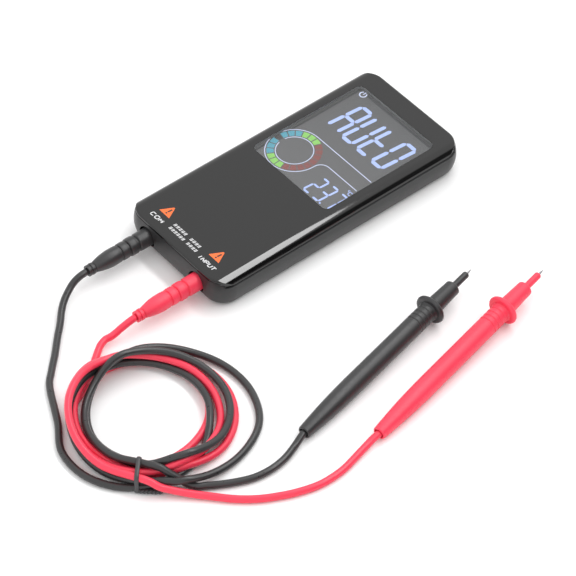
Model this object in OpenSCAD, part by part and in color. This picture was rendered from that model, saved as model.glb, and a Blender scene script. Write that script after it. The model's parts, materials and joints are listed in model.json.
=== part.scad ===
// Slim digital multimeter with a pair of test leads.
// Origin: centre of the meter's back face. +Y points to the display end, the jacks are at -Y, +Z is up
// with the meter lying on its back. Millimetres.

/* [Case] */
// Overall length of the meter
case_length = 151.6; // [140:0.2:190]
// Overall width of the meter
case_width = 72; // [68:0.5:90]
// Overall thickness of the meter
case_height = 17; // [17:0.5:22]
// Corner radius seen from above
corner_radius = 11; // [9:0.5:16]
// Wall thickness of the rear case
wall = 1.8; // [1.5:0.1:2.2]
// Radius of the edge between back and sides
foot_radius = 4.6; // [3:0.1:5]
// Height of the widest line of the sides
waist_height = 9.5; // [8.5:0.1:10.5]

/* [Front panel] */
// Thickness of the front panel
panel_thickness = 1.4; // [1.2:0.1:1.8]
// Width of the rolled-down long edges, seen from above
roll_width = 4.9; // [4:0.1:6]
// Drop of the rolled-down long edges
roll_drop = 4; // [3:0.1:4.5]
// Step from the widest line of the case to the panel's long edges
panel_step = 0.9; // [0.7:0.1:1.5]
// Gap between panel and case
seam_gap = 0.1; // [0.05:0.05:0.3]

/* [Display] */
// Length of the display window
window_length = 68.4; // [50:0.2:72]
// Width of the display window
window_width = 55.2; // [40:0.2:56]
// Distance from the window's upper edge to the display end of the case
window_margin = 12.6; // [12.6:0.2:20]
// Corner radius of the window
window_radius = 3; // [1:0.5:5]
// Thickness of the display glass
lcd_thickness = 2.2; // [1.8:0.1:2.4]
// Thickness of the light guide behind the display glass
guide_thickness = 1.6; // [1:0.1:2]

/* [Main board] */
// Thickness of the main board
board_thickness = 1.2; // [0.8:0.1:1.6]
// Height of the main board's underside
board_height = 8.6; // [8.4:0.1:9]

/* [Jacks and plugs] */
// Distance between the two jacks
jack_spacing = 37.2; // [30:0.2:40]
// Height of the jacks' axes
jack_height = 8.6; // [8:0.1:9]
// Bore of the brass jack sleeve
jack_bore = 4.04; // [4:0.02:4.1]
// Outer diameter of the brass jack sleeve
sleeve_diameter = 5.4; // [5:0.1:5.8]
// Inner diameter of the insulating barrel round the sleeve
barrel_bore = 10.2; // [9.8:0.1:10.6]
// Wall of the insulating barrel
barrel_wall = 1.2; // [1:0.1:1.4]
// Depth of the jack behind the end of the case
jack_depth = 24; // [22:0.5:28]
// Diameter of the plug pin
pin_diameter = 3.96; // [3.9:0.01:3.98]
// Outer diameter of the plug's shroud and grip
grip_diameter = 9; // [8.4:0.1:9.4]
// Length of the plug outside the case
plug_length = 34.9; // [30:0.1:50]

/* [Batteries] */
// Diameter of a battery cell
cell_diameter = 10.4; // [10:0.1:10.5]
// Length of a battery cell with its button
cell_length = 44.4; // [43:0.1:45]

/* [Buttons] */
// Length of a side button
button_length = 12; // [8:0.5:16]
// Height of a side button
button_height = 3.4; // [3:0.1:4]
// Depth of the pocket that a side button stands in
button_pocket = 0.6; // [0.4:0.1:0.8]
// Travel of a side button
button_travel = 0.4; // [0.3:0.05:0.5]
// Distance between side buttons
button_pitch = 18; // [14:0.5:20]

/* [Leads] */
// Diameter of a lead's cord
cord_diameter = 3.5; // [3:0.1:3.9]
// Outer radius of the coil of both cords
coil_outer = 48.5; // [44:0.5:60]
// Inner radius of the coil of both cords
coil_inner = 22; // [17:0.5:27]

/* [Probes] */
// Length of a probe handle from its cord end to its nose
handle_length = 109; // [95:0.5:120]
// Largest diameter of a probe handle behind its finger guard
handle_diameter = 9.6; // [9:0.1:11]
// Diameter of the finger guard
guard_diameter = 15.3; // [13:0.1:17]
// Diameter of the insulating sleeve on the probe tip
tip_sleeve_diameter = 3.4; // [3:0.1:4]
// Length of the insulating sleeve outside the nose
tip_sleeve_length = 10.4; // [8:0.1:14]
// Length of the bare needle
needle_length = 3.4; // [3:0.1:12]

/* [Hidden] */
$fn = 48;
eps = 0.01;

// Case
half_length = case_length / 2;
half_width = case_width / 2;
lean_angle = 20;
side_lean = (waist_height - foot_radius * (1 - sin(lean_angle))) * tan(lean_angle) / 2;
rim_height = case_height - panel_thickness - seam_gap;
rim_tuck = 0.9;
inner_radius = corner_radius - 2;
cavity_half_width = half_width - wall - rim_tuck - 0.3;
cavity_half_length = half_length - wall - rim_tuck - 0.3;

// Front panel
panel_half_width = half_width - panel_step;
panel_half_length = half_length - rim_tuck - 0.2;
roll_centre = panel_half_width - roll_width;
roll_height = case_height - roll_drop;
panel_under = case_height - panel_thickness;
panel_edge_radius = 0.8;

// Display
window_centre_y = half_length - window_margin - window_length / 2;
lcd_margin = 2.2;
lcd_top = panel_under - 0.1;
guide_top = lcd_top - lcd_thickness - 0.05;
frame_wall = 1.2;
frame_gap = 0.15;
display_end = window_centre_y + window_length / 2 + lcd_margin + frame_gap + frame_wall;
far_screw_y = (display_end + cavity_half_length) / 2;
frame_floor = 0.6;
frame_bottom = guide_top - guide_thickness - frame_floor - 0.05;

// Screws and posts
screw_diameter = 2;
screw_head_diameter = 3.8;
screw_head_height = 1.4;
head_pocket_depth = 3;
post_diameter = 7.4;
boss_diameter = 5.6;
post_top = board_height - 0.05;
near_screw_x = half_width - 9;
far_screw_x = half_width - 14;
near_screw_y = -half_length + jack_depth + 6;
SCREWS = [
    for (s = [-1, 1]) [s * near_screw_x, near_screw_y],
    for (s = [-1, 1]) [s * far_screw_x, far_screw_y]
];

// Battery compartment
cell_gap = 0.6;
cell_pitch = cell_diameter + cell_gap;
spring_space = 4.4;
bay_wall = 1.2;
bay_half_length = (cell_length + spring_space + 1.2) / 2;
bay_half_width = cell_pitch / 2 + cell_diameter / 2 + 0.5;
bay_y = near_screw_y + post_diameter / 2 + bay_wall + bay_half_width + 1;
bay_top = wall + cell_diameter + 1.1;
bay_roof = 0.9;
cell_height = wall + cell_diameter / 2 + 0.3;
door_gap = 0.2;
door_thickness = wall - 0.1;
tab_width = 8.6;
tab_length = 7;
tab_recess = wall - 0.05;
door_screw_y = bay_y - bay_half_width - tab_length / 2;
door_head_height = 1;

// Jacks
jack_x = jack_spacing / 2;
barrel_diameter = barrel_bore + 2 * barrel_wall;
barrel_front = -cavity_half_length + 0.1;
jack_hole = barrel_bore + 0.8;
barrel_back = -half_length + jack_depth;
barrel_floor = 2;
sleeve_front = barrel_front + 1.5;
shroud_bore = sleeve_diameter + 0.8;
shroud_depth = jack_depth - 5;
pin_tip_y = barrel_back - 2.4;

// Plug, as distances from the case's end along the plug
grip_end = 6.4;
rib_one_end = 11.9;
rib_two_end = 16.4;
bulb_end = plug_length - 4.2;
plug_end_y = -half_length - plug_length;

// Buttons
BUTTONS = [for (i = [-1:1]) window_centre_y + i * button_pitch];
button_z = 5.6;
button_gap = 0.15;
flange_depth = 1;
flange_margin = 1;
button_stop = 0.1;
button_face = half_width - 0.05;
flange_face = cavity_half_width - button_stop;
plunger_tip = flange_face - flange_depth - button_travel - 0.05;

// Board
board_half_width = cavity_half_width - 0.6;
board_near_y = barrel_back + 1.2;
board_far_y = cavity_half_length - 0.6;
board_top = board_height + board_thickness;

// Probe: distances along the handle from its cord end
handle_rear_diameter = 6.4;
taper_end = 36;
groove_start = handle_length - 30;
guard_place = handle_length - 17.3;
guard_thickness = 2.6;
nose_diameter = 8.6;
nose_end_diameter = 7.6;
nose_round = 0.8;
needle_diameter = 1;
cord_socket_depth = 4;
probe_azimuth = 101.1;
probe_rear_height = 3.7;
probe_tilt = asin((guard_diameter / 2 + 0.08 - probe_rear_height) / guard_place);
com_probe_place = [117.5, -92.6, probe_rear_height];
input_probe_place = [139, -67.1, probe_rear_height];

// Leads: the coil, the tie and the routes of the cords that aren't coiled
coil_centre = [64, -137.7];
coil_height = 11;
tie_angle = -45;
tie_wire = 1.5;
com_plug_route = [
    [-18.6, -110.7, 8.6], [-18.4, -115.7, 8.2], [-17.5, -120.7, 6.6], [-14.5, -126.7, 4.2], [-10.5, -131.7, 2.4],
    [-5, -136.7, 1.8], [1, -142.7, 1.8], [8.5, -149.7, 1.8], [16, -157.2, 1.8], [23, -163.2, 1.8]
];
com_probe_route = [
    [109.5, -149.7, 5], [113, -144.7, 3.6], [116, -139.7, 2.6], [119.5, -132.7, 1.8], [122.5, -124.7, 1.8],
    [123.5, -115.7, 1.8], [122.5, -107.2, 1.8], [120, -99.7, 2.4], [117.5, -92.6, 3.7]
];
input_plug_route = [
    [18.6, -110.7, 8.6], [18.4, -114.7, 7.8], [17.8, -119.7, 5.6], [17.6, -125.2, 3.4], [18.4, -131.2, 1.9]
];
input_probe_route = [
    [108, -154.2, 2.7], [117.5, -146.2, 1.8], [126, -138.7, 1.8], [133, -130.2, 1.8], [138.5, -120.2, 1.8],
    [141.5, -112.7, 1.8], [143.5, -105.2, 1.8], [144, -97.7, 1.8], [143.5, -90.7, 1.8], [142, -83.7, 1.8],
    [140.5, -77.2, 2.2], [139.4, -71.7, 3], [139, -67.1, 3.7]
];
cord_sides = 8;

// ---- Shapes that repeat ----

// A plate with round corners, standing on z = 0
module rounded_plate(length, width, radius, height) {
    for (sx = [-1, 1], sy = [-1, 1])
        translate([sx * (width / 2 - radius), sy * (length / 2 - radius), 0]) cylinder(r = radius, h = height);
    translate([-width / 2 + radius, -length / 2, 0]) cube([width - 2 * radius, length, height]);
    translate([-width / 2, -length / 2 + radius, 0]) cube([width, length - 2 * radius, height]);
}

// A box centred in X and Y that stands on z = 0
module slab(size) {
    translate([-size[0] / 2, -size[1] / 2, 0]) cube(size);
}

// A cylinder along +Y that starts at y = 0
module bar(diameter, length) {
    rotate([-90, 0, 0]) cylinder(d = diameter, h = length);
}

// A flat bar with round ends in the Y-Z plane, from one x to another, centred on y = z = 0
module pill(length, height, near_x, far_x) {
    translate([near_x, 0, 0]) rotate([90, 0, 90]) linear_extrude(far_x - near_x) {
        square([length - height, height], center = true);
        for (s = [-1, 1]) translate([s * (length - height) / 2, 0]) circle(d = height);
    }
}

// Points of a smooth curve through the route's points, with a midpoint between each two
function past(route, i) = i < 0 ? 2 * route[0] - route[1]
    : i >= len(route) ? 2 * route[len(route) - 1] - route[len(route) - 2] : route[i];
function between(route, i) = (9 * (route[i] + route[i + 1]) - past(route, i - 1) - past(route, i + 2)) / 16;
function smoothed(route) = [
    for (i = [0:len(route) - 1], half = [0:(i < len(route) - 1 ? 1 : 0)]) half == 0 ? route[i] : between(route, i)
];

// A closed tube along a line of points, no stretch of which runs along the pole
function unit(v) = v / norm(v);
function heading(line, i) = unit(line[min(i + 1, len(line) - 1)] - line[max(i - 1, 0)]);
function ring(line, i, radius, sides, pole) = let (
    along = heading(line, i),
    across = unit(cross(along, pole)),
    up = cross(across, along)
) [for (k = [0:sides - 1]) line[i] + radius * (cos(360 * k / sides) * across + sin(360 * k / sides) * up)];
module tube(line, diameter, sides, pole = [0, 0, 1]) {
    rings = len(line);
    polyhedron(
        points = [for (i = [0:rings - 1]) each ring(line, i, diameter / 2, sides, pole)],
        faces = [
            [for (k = [0:sides - 1]) k],
            for (i = [0:rings - 2], k = [0:sides - 1]) let (m = (k + 1) % sides)
                [i * sides + k, (i + 1) * sides + k, (i + 1) * sides + m, i * sides + m],
            [for (k = [sides - 1:-1:0]) (rings - 1) * sides + k]
        ]
    );
}

// ---- Case ----

// Outline of a corner of the case from its axis outwards: flat back, round foot, full waist, tucked rim
function foot_arc(r) = [
    for (a = [-90:10:-lean_angle]) [
        r - side_lean - foot_radius * (cos(lean_angle) - cos(a)), foot_radius * (1 + sin(a))
    ]
];
function lean(z) = z < waist_height
    ? side_lean * pow((waist_height - z) / (waist_height - foot_radius * (1 - sin(lean_angle))), 2)
    : rim_tuck * pow((z - waist_height) / (rim_height - waist_height), 2);
function case_outline(r) = concat(
    [[0, 0]],
    foot_arc(r),
    [for (k = [1:10]) let (z = foot_radius * (1 - sin(lean_angle)), h = z + (rim_height - z) * k / 10) [r - lean(h), h]],
    [[0, rim_height]]
);

module case_body() {
    hull()
        for (sx = [-1, 1], sy = [-1, 1])
            translate([sx * (half_width - corner_radius), sy * (half_length - corner_radius), 0])
                rotate_extrude($fn = 64) polygon(case_outline(corner_radius));
}

module case_cavity() {
    hull()
        for (sx = [-1, 1], sy = [-1, 1])
            translate([sx * (cavity_half_width - inner_radius), sy * (cavity_half_length - inner_radius), wall])
                rotate_extrude($fn = 48) polygon([
                    [0, 0],
                    for (a = [-90:15:0]) [inner_radius - 2.5 + 2.5 * cos(a), 2.5 + 2.5 * sin(a)],
                    [inner_radius, case_height],
                    [0, case_height]
                ]);
}

// Half-ellipse section under the front panel; inset 0 is the panel's outer face
function roll(inset, steps) = [
    for (k = [0:steps]) let (a = 90 * k / steps)
        [roll_centre + (roll_width - inset) * cos(a), roll_height + (roll_drop - inset) * sin(a)]
];
function both_sides(line) = concat(line, [for (k = [len(line) - 1:-1:0]) [-line[k][0], line[k][1]]]);

// All that lies above the face that the panel sits on
module panel_space(inset, drop) {
    rotate([90, 0, 0]) linear_extrude(case_length + 10, center = true) polygon(concat(
        [[half_width + 5, roll_height - drop]],
        [for (p = both_sides(roll(inset, 12))) [p[0], p[1] - drop]],
        [[-half_width - 5, roll_height - drop], [-half_width - 5, case_height + 5], [half_width + 5, case_height + 5]]
    ));
}

module screw_hole() {
    translate([0, 0, -eps]) cylinder(d = screw_head_diameter + 0.6, h = head_pocket_depth + eps);
    cylinder(d = screw_diameter + 0.3, h = case_height);
}

module battery_bay() {
    translate([0, bay_y, 0])
        slab([2 * (bay_half_length + bay_wall), 2 * (bay_half_width + bay_wall), bay_top + bay_roof]);
}

module battery_space() {
    translate([0, bay_y, -eps]) slab([2 * bay_half_length, 2 * bay_half_width, bay_top + eps]);
}

module door_tab(gap, height) {
    translate([0, bay_y - bay_half_width - tab_length / 2 + gap / 2, 0])
        slab([tab_width - 2 * gap, tab_length - gap, height]);
}

module door_tongues(gap) {
    for (x = [-14, 14])
        translate([x, bay_y + bay_half_width + bay_wall / 2, wall + 0.1 - gap])
            slab([6 + 2 * gap, bay_wall + 2 * gap, 0.8 + 2 * gap]);
}

module rear_case() {
    color("#26282a")
        difference() {
            union() {
                difference() {
                    case_body();
                    case_cavity();
                    panel_space(panel_thickness, seam_gap);
                }
                intersection() {
                    case_body();
                    union() {
                        for (p = SCREWS) translate([p[0], p[1], wall / 2]) cylinder(d = post_diameter, h = post_top - wall / 2);
                        battery_bay();
                        translate([0, door_screw_y, wall / 2]) slab([tab_width + 2.4, tab_length + 2.4, wall / 2 + 1]);
                        translate([0, door_screw_y, wall / 2]) cylinder(d = 7, h = 6.5);
                    }
                }
            }
            battery_space();
            translate([0, 0, -eps]) door_tab(0, tab_recess + eps);
            door_tongues(0.1);
            translate([0, door_screw_y, 0]) cylinder(d = screw_diameter + 0.05, h = 6.5);
            for (p = SCREWS) translate([p[0], p[1], 0]) screw_hole();
            for (s = [-1, 1]) {
                translate([s * jack_x, -half_length - eps, jack_height]) bar(jack_hole, wall + rim_tuck + 1);
                translate([s * jack_x, -cavity_half_length, jack_height]) bar(barrel_diameter + 0.2, 8);
            }
            for (y = BUTTONS) button_opening(y);
        }
}

module front_panel() {
    color("#101214")
        difference() {
            union() {
                intersection() {
                    difference() {
                        panel_body();
                        panel_space_below();
                    }
                    panel_plan();
                }
                for (p = SCREWS)
                    translate([p[0], p[1], post_top + 0.05]) cylinder(d = boss_diameter, h = panel_under - post_top);
            }
            translate([0, window_centre_y, panel_under - 1])
                rounded_plate(window_length, window_width, window_radius, panel_thickness + 2);
            for (p = SCREWS) translate([p[0], p[1], post_top]) cylinder(d = screw_diameter + 0.05, h = 5);
        }
}

module panel_body() {
    rotate([90, 0, 0]) linear_extrude(case_length, center = true) polygon(both_sides(roll(0, 12)));
}

module panel_space_below() {
    rotate([90, 0, 0]) linear_extrude(case_length + 10, center = true)
        polygon(concat(
            both_sides(roll(panel_thickness, 12)),
            [[-roll_centre - roll_width + panel_thickness, -1], [roll_centre + roll_width - panel_thickness, -1]]
        ));
}

// The panel seen from above, with a small round along its upper edge
module panel_plan() {
    radius = corner_radius - panel_step;
    hull()
        for (sx = [-1, 1], sy = [-1, 1])
            translate([sx * (panel_half_width - radius), sy * (panel_half_length - radius), 0])
                rotate_extrude($fn = 64) polygon(concat(
                    [[0, 0], [radius, 0]],
                    [for (a = [0:22.5:90]) [
                        radius - panel_edge_radius * (1 - cos(a)),
                        case_height - panel_edge_radius * (1 - sin(a))
                    ]],
                    [[0, case_height]]
                ));
}

// ---- Display ----

module display_window() {
    color([0.7, 0.75, 0.8, 0.4])
        translate([0, window_centre_y, panel_under])
            rounded_plate(window_length - 0.1, window_width - 0.1, window_radius - 0.05, panel_thickness);
}

module display_glass() {
    color("#6f7479")
        translate([0, window_centre_y, lcd_top - lcd_thickness])
            slab([window_width + 2 * lcd_margin, window_length + 2 * lcd_margin, lcd_thickness]);
}

module light_guide() {
    color("#e8f0f4")
        translate([0, window_centre_y, guide_top - guide_thickness])
            slab([window_width + 2 * lcd_margin, window_length + 2 * lcd_margin - 6.4, guide_thickness]);
}

// Where the contact strips stand, just inside both ends of the display glass
STRIPS = [for (s = [-1, 1]) window_centre_y + s * (window_length / 2 + lcd_margin - 1.6)];

module display_frame() {
    inner = [window_width + 2 * (lcd_margin + frame_gap), window_length + 2 * (lcd_margin + frame_gap)];
    outer = [inner[0] + 2 * frame_wall, inner[1] + 2 * frame_wall];
    color("#dcdcd8")
        difference() {
            translate([0, window_centre_y, frame_bottom]) slab([outer[0], outer[1], lcd_top - 0.9 - frame_bottom]);
            translate([0, window_centre_y, frame_bottom + frame_floor]) slab([inner[0], inner[1], case_height]);
            for (y = STRIPS) translate([0, y, 0]) slab([52.4, 2.2, case_height]);
        }
}

module contact_strips() {
    color("#b9a8a8")
        for (y = STRIPS)
            translate([0, y, board_top]) slab([52, 1.8, lcd_top - lcd_thickness - board_top]);
}

// ---- Board and what is on it ----

module main_board() {
    color("#1d5a3a")
        difference() {
            translate([0, (board_near_y + board_far_y) / 2, board_height])
                rounded_plate(board_far_y - board_near_y, 2 * board_half_width, inner_radius - 1, board_thickness);
            translate([0, bay_y, 0])
                slab([2 * (bay_half_length + bay_wall) + 1, 2 * (bay_half_width + bay_wall) + 1, case_height]);
            for (p = SCREWS) translate([p[0], p[1], 0]) cylinder(d = boss_diameter + 0.4, h = case_height);
        }
}

// A flat chip with rows of legs along two sides, standing on z = 0
module chip(length, width, height, legs) {
    translate([0, 0, 0.1]) slab([width, length, height - 0.1]);
    for (s = [-1, 1], i = [0:legs - 1])
        translate([s * (width / 2 + 0.5), (i - (legs - 1) / 2) * length / (legs + 1), 0]) slab([1.2, 0.35, 0.45]);
}

module measuring_chip() {
    color("#1b1b1d")
        translate([12, window_centre_y - 18, board_height]) mirror([0, 0, 1]) chip(10, 10, 1.5, 12);
}

module processor_chip() {
    color("#1b1b1d")
        translate([12, window_centre_y + 6, board_height]) mirror([0, 0, 1]) chip(12, 9, 1.5, 14);
}

module crystal() {
    color("#c8ccd0")
        translate([12, window_centre_y + 19, board_height - 2.4]) {
            slab([7, 3, 2.4]);
            for (s = [-1, 1]) translate([s * 3.5, 0, 0]) cylinder(d = 3, h = 2.4);
        }
}

module input_resistors() {
    color("#3c6fae")
        for (i = [0:3])
            translate([29, bay_y - 9 + i * 6, board_height - 2.2]) {
                translate([0, -2.2, 1.1]) bar(2, 4.4);
                for (s = [-1, 1]) translate([0, s * 2.6, 0.4]) slab([0.5, 0.8, 1.8]);
            }
}

module ptc_thermistor() {
    color("#b98a3c")
        translate([jack_x - 9, near_screw_y, board_height - 4.2]) {
            translate([0, -1, 2]) bar(4, 2);
            for (s = [-1, 1]) translate([s * 1.2, 0, 2]) cylinder(d = 0.6, h = 2.2);
        }
}

module buzzer() {
    color("#202226")
        translate([-14, window_centre_y + 14, board_height - 4.6])
            difference() {
                cylinder(d = 12, h = 4.6);
                translate([0, 0, -1]) cylinder(d = 2.4, h = 2);
            }
}

// ---- Jacks ----

module jack_block() {
    depth = barrel_back - barrel_front;
    color("#17181a")
        difference() {
            union() {
                for (s = [-1, 1]) translate([s * jack_x, barrel_front, jack_height]) bar(barrel_diameter, depth);
                translate([0, barrel_back - 8, wall + 0.05]) slab([jack_spacing, 6, jack_height - wall]);
                for (s = [-1, 1])
                    translate([s * jack_x, barrel_back - 8, wall + 0.05]) slab([barrel_diameter, 6, jack_height - wall]);
            }
            for (s = [-1, 1]) {
                translate([s * jack_x, barrel_front - 1, jack_height]) bar(barrel_bore, depth + 1 - barrel_floor);
                translate([s * jack_x, barrel_front, jack_height]) bar(sleeve_diameter + 0.04, depth + 1);
            }
        }
}

module jack_sleeve(s) {
    color("#c8a24a")
        translate([s * jack_x, sleeve_front, jack_height])
            difference() {
                union() {
                    bar(sleeve_diameter, barrel_back + 1 - sleeve_front);
                    translate([0, barrel_back + 2.4 - sleeve_front, board_height - jack_height - 1.15])
                        slab([3, 4, 1.1]);
                }
                translate([0, -1, 0]) bar(jack_bore, barrel_back - sleeve_front);
            }
}

module com_jack() { jack_sleeve(-1); }
module input_jack() { jack_sleeve(1); }

// ---- Batteries ----

module battery(s) {
    direction = s;
    translate([-direction * (bay_half_length - 0.6 - spring_space - cell_length / 2), bay_y + s * cell_pitch / 2, cell_height])
        rotate([0, direction * 90, 0]) {
            translate([0, 0, -cell_length / 2]) cylinder(d = cell_diameter, h = cell_length - 0.8);
            translate([0, 0, cell_length / 2 - 0.8 - eps]) cylinder(d = 3.8, h = 0.8);
        }
}

module left_battery() { color("#3c6f8f") battery(-1); }
module right_battery() { color("#3c6f8f") battery(1); }

module battery_springs() {
    turns = 4;
    steps = 12 * turns;
    reach = spring_space - 0.8;
    color("#c4c8cc")
        for (s = [-1, 1])
            tube([for (k = [0:steps]) let (a = 360 * turns * k / steps, r = 3.3 - 0.9 * k / steps) [
                -s * (bay_half_length - 1 - reach * k / steps),
                bay_y + s * cell_pitch / 2 + r * cos(a),
                cell_height + r * sin(a)
            ]], 0.6, 6, [1, 0, 0]);
}

module battery_contacts() {
    plate_x = bay_half_length - 0.3;
    color("#c4c8cc") {
        translate([plate_x, bay_y, wall + 0.5]) slab([0.5, cell_pitch + 8, 9.6]);
        for (s = [-1, 1])
            translate([-plate_x, bay_y + s * cell_pitch / 2, wall + 0.5]) slab([0.5, 8, 9.6]);
    }
}

module battery_door() {
    color("#26282a")
        difference() {
            union() {
                translate([0, bay_y, 0])
                    slab([2 * (bay_half_length - door_gap), 2 * (bay_half_width - door_gap), door_thickness]);
                door_tab(door_gap, door_thickness);
                translate([0, bay_y - bay_half_width, 0]) slab([tab_width - 2 * door_gap, 2, door_thickness]);
                door_tongues(0);
                for (x = [-14, 14])
                    translate([x, bay_y + bay_half_width - 0.75, 0.5]) slab([6, 1.5, wall + 0.4]);
            }
            translate([0, door_screw_y, -eps]) cylinder(d = screw_diameter + 0.3, h = wall);
            translate([0, door_screw_y, -eps]) cylinder(d = screw_head_diameter + 0.4, h = door_head_height + 0.15);
            for (i = [-4:4])
                translate([i * 4, bay_y + 4, -eps]) slab([1.2, 9, 0.4]);
        }
}

// ---- Screws ----

// A pan-head screw that points up, its head's face on z = 0
module screw(head_height, length) {
    difference() {
        union() {
            cylinder(d = screw_head_diameter, h = head_height);
            cylinder(d = screw_diameter, h = head_height + length);
        }
        for (a = [0, 90]) rotate([0, 0, a]) translate([0, 0, -eps]) slab([2.2, 0.5, head_height * 0.6]);
    }
}

module door_screw() {
    color("#8d9195") translate([0, door_screw_y, 0.1]) screw(door_head_height, 5.2);
}

module case_screws() {
    color("#8d9195")
        for (p = SCREWS)
            translate([p[0], p[1], head_pocket_depth - screw_head_height]) screw(screw_head_height, 10);
}

// ---- Buttons ----

// Opening for a side button, the pocket round it and room for its flange
module button_opening(y) {
    pocket_face = half_width - lean(button_z) - button_pocket;
    translate([0, y, button_z]) {
        pill(button_length + 2 * button_gap, button_height + 2 * button_gap, -half_width - 1, -cavity_half_width + 1);
        pill(button_length + 2.4, button_height + 1.6, -half_width - 1, -pocket_face);
        pill(
            button_length + 2 * flange_margin + 0.6, button_height + 2 * flange_margin + 0.4,
            -cavity_half_width, -cavity_half_width + 3
        );
    }
}

module side_button(y) {
    color("#3a3d40")
        translate([0, y, button_z]) {
            pill(button_length, button_height, -button_face, -flange_face + flange_depth / 2);
            pill(
                button_length + 2 * flange_margin, button_height + 2 * flange_margin,
                -flange_face, -flange_face + flange_depth
            );
        }
}

module hold_button() { side_button(BUTTONS[0]); }
module function_button() { side_button(BUTTONS[1]); }
module power_button() { side_button(BUTTONS[2]); }

module button_switches() {
    body_x = plunger_tip - 0.9;
    color("#303236")
        for (y = BUTTONS) {
            translate([-body_x + 1.7, y, board_height - 5.3]) slab([3.4, 6, 5.25]);
            translate([-body_x + 0.1, y, button_z]) rotate([0, -90, 0]) cylinder(d = 2.4, h = 1);
        }
}

// ---- Test leads ----

// Places a shape that is drawn along +Z on a plug's axis: z = 0 at the end of the case, +Z away from it
module on_plug(s) {
    translate([s * jack_x, -half_length, jack_height]) rotate([90, 0, 0]) children();
}

// Half of the plug housing's outline: smooth collar, two ribs, tapering bulb, ringed relief
function plug_outline() = [
    [grip_diameter / 2, -shroud_depth],
    [grip_diameter / 2, grip_end - 0.8],
    [grip_diameter / 2 - 0.3, grip_end - 0.3],
    [grip_diameter / 2 - 0.9, grip_end],
    [grip_diameter / 2 - 0.9, grip_end + 0.6],
    [grip_diameter / 2 - 0.2, grip_end + 0.9],
    [grip_diameter / 2, grip_end + 1.6],
    [grip_diameter / 2, rib_one_end - 1.2],
    [grip_diameter / 2 - 0.2, rib_one_end - 0.5],
    [grip_diameter / 2 - 0.9, rib_one_end - 0.2],
    [grip_diameter / 2 - 0.9, rib_one_end + 0.4],
    [grip_diameter / 2 - 0.3, rib_one_end + 0.7],
    [grip_diameter / 2 - 0.2, rib_one_end + 1.4],
    [grip_diameter / 2 - 0.2, rib_two_end - 1.2],
    [grip_diameter / 2 - 0.3, rib_two_end - 0.5],
    [grip_diameter / 2 - 0.9, rib_two_end - 0.2],
    [grip_diameter / 2 - 0.9, rib_two_end + 0.4],
    for (k = [0:8]) let (t = k / 8) [
        grip_diameter / 2 - 0.35 + 0.35 * sin(180 * t) - 1.45 * t * t,
        rib_two_end + 0.7 + t * (bulb_end - rib_two_end - 0.7)
    ],
    [2.3, bulb_end + 0.3],
    [2.3, bulb_end + 0.7],
    [2.9, bulb_end + 0.9],
    [2.9, bulb_end + 2.1],
    [2.4, bulb_end + 2.3],
    [2.4, bulb_end + 2.7],
    [2.8, bulb_end + 2.9],
    [2.8, plug_length]
];

module plug(s) {
    on_plug(s)
        rotate_extrude() polygon(concat(
            [[0, plug_length], [0, 2], [shroud_bore / 2, 2], [shroud_bore / 2, -shroud_depth]],
            plug_outline()
        ));
}

module com_plug() { color("#303133") plug(-1); }
module input_plug() { color("#f0405c") plug(1); }

module plug_pin(s) {
    tip = -half_length - pin_tip_y;
    color("#c8a24a")
        on_plug(s)
            rotate_extrude() polygon([
                [0, tip], [pin_diameter / 2 - 0.8, tip], [pin_diameter / 2, tip + 1.2], [pin_diameter / 2, 1],
                [shroud_bore / 2 - 0.05, 1], [shroud_bore / 2 - 0.05, 1.95], [0, 1.95]
            ]);
}

module com_pin() { plug_pin(-1); }
module input_pin() { plug_pin(1); }

// Direction of both probes, from the cord end to the needle
probe_direction = [
    cos(probe_tilt) * cos(probe_azimuth), cos(probe_tilt) * sin(probe_azimuth), sin(probe_tilt)
];

module com_cord_plug_end() {
    color("#303133") tube(smoothed(com_plug_route), cord_diameter, cord_sides);
}

module input_cord_plug_end() {
    color("#f0405c") tube(smoothed(input_plug_route), cord_diameter, cord_sides);
}

module com_cord_probe_end() {
    color("#303133")
        tube(
            concat(smoothed(com_probe_route), [com_probe_place + cord_socket_depth * probe_direction]),
            cord_diameter, cord_sides
        );
}

module input_cord_probe_end() {
    color("#f0405c")
        tube(
            concat(smoothed(input_probe_route), [input_probe_place + cord_socket_depth * probe_direction]),
            cord_diameter, cord_sides
        );
}

// Both cords where they are coiled together, as one ring
module lead_coil() {
    half = coil_height / 2;
    color("#66343c")
        translate([coil_centre[0], coil_centre[1], 0])
            difference() {
                rotate_extrude($fn = 96) polygon([
                    for (a = [-90:30:90]) [coil_outer - half + half * cos(a), half + half * sin(a)],
                    for (a = [90:30:270]) [coil_inner + half + half * cos(a), half + half * sin(a)]
                ]);
                rotate([0, 0, tie_angle]) translate([(coil_outer + coil_inner) / 2, 0, -eps])
                    slab([coil_outer - coil_inner + 2, tie_wire + 0.6, tie_wire + 0.1]);
            }
}

module wire_tie() {
    half_wide = (coil_outer - coil_inner) / 2 + 0.4;
    half_high = (coil_height + 0.1 - tie_wire) / 2;
    color("#1c1c1e")
        translate([coil_centre[0], coil_centre[1], 0])
            rotate([0, 0, tie_angle])
                translate([(coil_outer + coil_inner) / 2, 0, half_high + tie_wire])
                    rotate([90, 0, 0])
                        linear_extrude(tie_wire, center = true)
                            difference() {
                                square(2 * [half_wide + tie_wire, half_high + tie_wire], center = true);
                                square(2 * [half_wide, half_high], center = true);
                            }
}

// ---- Probes ----

module on_probe(place) {
    translate(place) rotate([0, 90 - probe_tilt, probe_azimuth]) children();
}

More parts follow.
